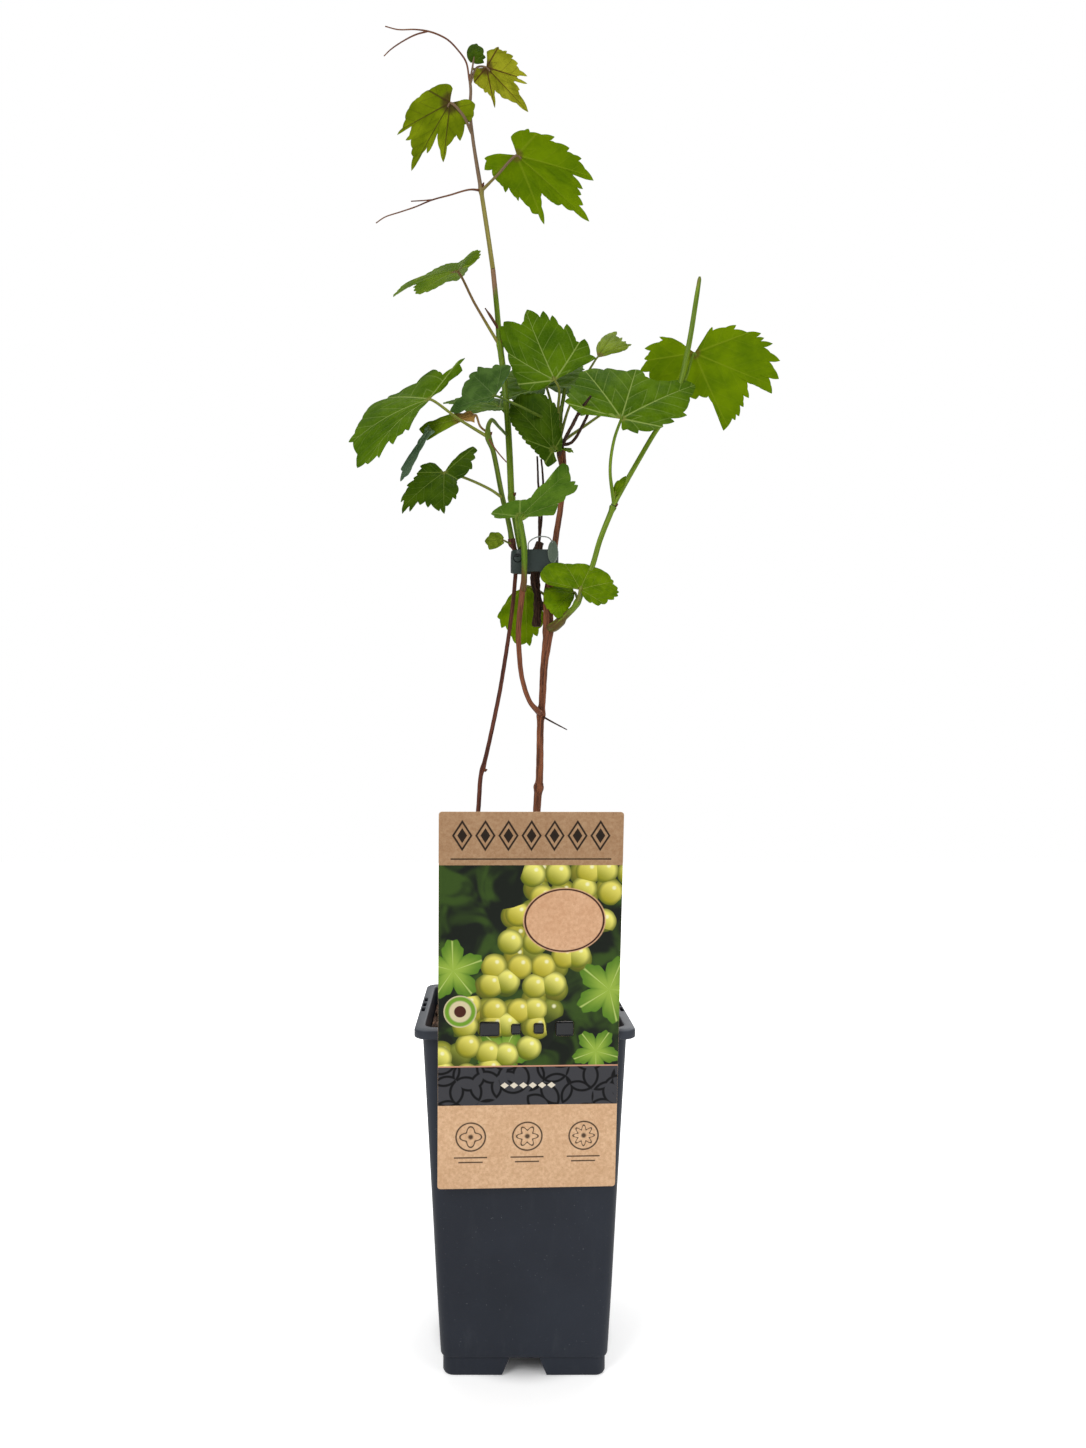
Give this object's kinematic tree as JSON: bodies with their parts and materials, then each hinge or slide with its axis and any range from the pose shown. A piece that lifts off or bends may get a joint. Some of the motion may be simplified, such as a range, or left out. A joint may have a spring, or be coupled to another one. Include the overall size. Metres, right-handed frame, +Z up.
{
  "type": "potted grapevine",
  "caption": "Young potted grapevine: slender canes held by a clip, toothed leaves and tendrils, in a tall square pot with a hanging card.",
  "frame": {"origin": "middle of the pot's flat underside, at the mount base", "axes": "+Z up along the plant, +X to the right and +Y away from the side the card hangs on"},
  "size_m": [0.225, 0.1289, 0.7067],
  "materials": {
    "pot": "matt moulded plastic, slate black",
    "soil": "loose dark potting soil with root crumbs",
    "card": "printed kraft card",
    "clip": "smooth moulded plastic, grey green",
    "cane": "thin striped bark, red brown",
    "dead_wood": "dry dark bark",
    "green_stem": "smooth green shoot skin",
    "leaf": "soft leaf with pale veins, satin",
    "young_leaf": "young leaf, yellow green, satin"
  },
  "bodies": {
    "root": {"pot": "pot", "soil": "soil", "label_card": "card", "tie_clip": "clip", "main_cane": "cane", "left_cane": "cane", "side_cane": "cane", "old_stub": "dead_wood", "dead_tendril": "dead_wood", "leader_stem": "green_stem", "left_shoot": "green_stem", "right_shoot": "green_stem", "node_tendril": "green_stem", "top_foliage": "young_leaf", "upper_leaf": "leaf", "crown_foliage": "leaf", "left_leaf": "leaf", "hanging_leaf": "leaf", "low_left_leaf": "leaf", "clip_leaf": "young_leaf", "front_leaf": "leaf", "right_foliage": "leaf", "low_right_leaf": "leaf", "node_leaf": "leaf", "back_leaf": "leaf", "rear_left_leaf": "leaf"}
  },
  "joints": []
}
